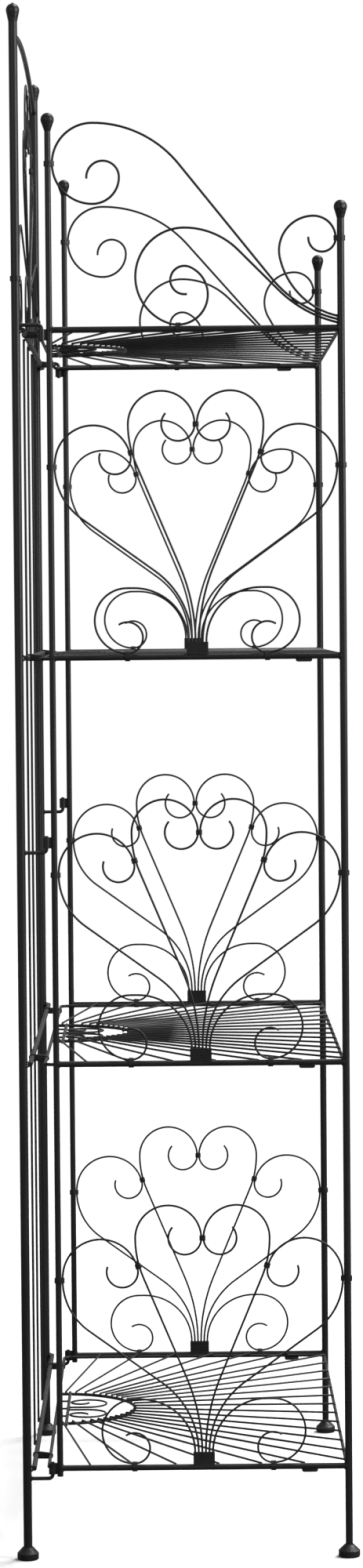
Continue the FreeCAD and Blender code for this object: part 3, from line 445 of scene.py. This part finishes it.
def shelf_welds(tier, z):
    welds = Welds()
    rod_z, wire_z = z - SHELF_DROP, z + WIRE_WELD_RISE
    depth = BASE_ROD_Y - FRONT_ROD_Y
    aims = [(u, depth) for u in spread(FRONT_WIRES, FRONT_WIRE_PITCH)]
    for i in range(SIDE_WIRES):
        v = depth - SIDE_WIRE_FIRST - SIDE_WIRE_PITCH * i
        aims += [(SHELF_HALF, v), (-SHELF_HALF, v)]
    for aim in aims:
        rod = "side_rod" if abs(aim[0]) == SHELF_HALF else "front_rod"
        for (u, v), kind in ((aim, rod), (wire_start(aim), "medallion")):
            welds.spot((u, BASE_ROD_Y - v, wire_z), SPOT_HALF[kind])
    for u in spread(STRUTS, STRUT_PITCH):
        for y in (REAR_ROD_Y - STRUT_WELD_OUT, BASE_ROD_Y + STRUT_WELD_OUT):
            welds.spot((u, y, rod_z), SPOT_HALF["strut"])
    for turn in BOTH:
        welds.spot((turn * CURL_U, BASE_ROD_Y - CURL_WELD_OUT, rod_z), SPOT_HALF["curl"])
        for shift in (-LUG_WELD_SIDE, LUG_WELD_SIDE):
            ring = [(turn * LUG_X + shift, REAR_ROD_Y + LUG_RING_R * math.cos(angle),
                     rod_z + LUG_RING_R * math.sin(angle)) for angle in turns(LUG_RING_POINTS)]
            welds.bead(ring, BEAD_R["lug"], True)
    welds.piece(tier + "_shelf_welds", tier + "_shelf")


# ------------------------------------------------------------------ floor, backdrop and light
# The camera sees floor and backdrop white. The rack is lit by a dim room over a dark grey floor, by
# a soft sun and by two softboxes. Lengths are in metres.
FLOOR_HALF = 9
FLOOR_NOISE, FLOOR_BAND = (3.0, 3.0, 0.55), (0.3, 0.7)
FLOOR_SEEN, FLOOR_UNSEEN = (0.985, 1.0), 0.12
FLOOR_ROUGHNESS, FLOOR_SHINE = 0.9, 0.0
ROOM_AT_HORIZON, ROOM_ABOVE = 0.42, 0.20         # strengths; the horizon's also holds below it
BACKDROP = 1.0
WHITE = (1, 1, 1, 1)
SUN_FROM, SUN_STRENGTH, SUN_SPREAD = (0.30, -0.45, 1.0), 3.0, 24


def stage():
    mesh = bpy.data.meshes.new("floor")
    corners = [(x * FLOOR_HALF, y * FLOOR_HALF, 0) for x, y in ((-1, -1), (1, -1), (1, 1), (-1, 1))]
    mesh.from_pydata(corners, [], [(0, 1, 2, 3)])
    floor = new_object("floor", mesh)
    material = bpy.data.materials.new("floor")
    t = Nodes(material)
    rays = t.add("ShaderNodeLightPath").outputs["Is Camera Ray"]
    coords = t.add("ShaderNodeTexCoord").outputs["Object"]
    mottle = t.ramp(t.noise(coords, *FLOOR_NOISE), FLOOR_BAND)
    seen = t.blend(mottle, *(grey(value) for value in FLOOR_SEEN))
    colour = t.blend(rays, grey(FLOOR_UNSEEN), seen)
    shader = t.add("ShaderNodeBsdfPrincipled", Base_Color=colour, Roughness=FLOOR_ROUGHNESS,
                   Specular_IOR_Level=FLOOR_SHINE)
    t.add("ShaderNodeOutputMaterial", Surface=shader.outputs["BSDF"])
    mesh.materials.append(material)

    world = bpy.data.worlds.new("studio")
    bpy.context.scene.world = world
    t = Nodes(world)
    rays = t.add("ShaderNodeLightPath").outputs["Is Camera Ray"]
    way = t.add("ShaderNodeTexCoord").outputs["Generated"]
    height = t.add("ShaderNodeSeparateXYZ", Vector=way).outputs["Z"]
    dim = t.ramp(height, (0.0, 1.0), ROOM_AT_HORIZON, ROOM_ABOVE)
    mix = t.add("ShaderNodeMixShader")
    t.put(mix, "#0", rays)
    for socket, strength in (("#1", dim), ("#2", BACKDROP)):
        light = t.add("ShaderNodeBackground", Color=WHITE, Strength=strength)
        t.put(mix, socket, light.outputs[0])
    t.add("ShaderNodeOutputWorld", Surface=mix.outputs[0])


def lamp(name, place, aim, size, power):
    data = bpy.data.lights.new(name, "AREA")
    data.shape = "RECTANGLE"
    data.size, data.size_y = size
    data.energy = power
    light = new_object(name, data)
    light.location = place
    light.rotation_euler = (Vector(aim) - Vector(place)).to_track_quat("-Z", "Y").to_euler()


def lights():
    data = bpy.data.lights.new("sun", "SUN")
    data.energy = SUN_STRENGTH
    data.angle = math.radians(SUN_SPREAD)
    sun = new_object("sun", data)
    sun.rotation_euler = Vector(SUN_FROM).to_track_quat("Z", "Y").to_euler()
    lamp("front_softbox", place=(-1.7, -3.1, 2.3), aim=(0, 0, 1.4), size=(1.3, 2.0), power=105)
    lamp("side_softbox", place=(-3.4, 1.9, 2.3), aim=(0, 0, 0.9), size=(1.2, 2.2), power=14)


place_camera()
dress_nodes()
back_welds()
for side_name, side_x in SIDES.items():
    side_welds(side_name, side_x)
for tier_name, tier_z in TIERS.items():
    shelf_welds(tier_name, tier_z)
stage()
lights()
bpy.context.scene.view_settings.view_transform = "Standard"
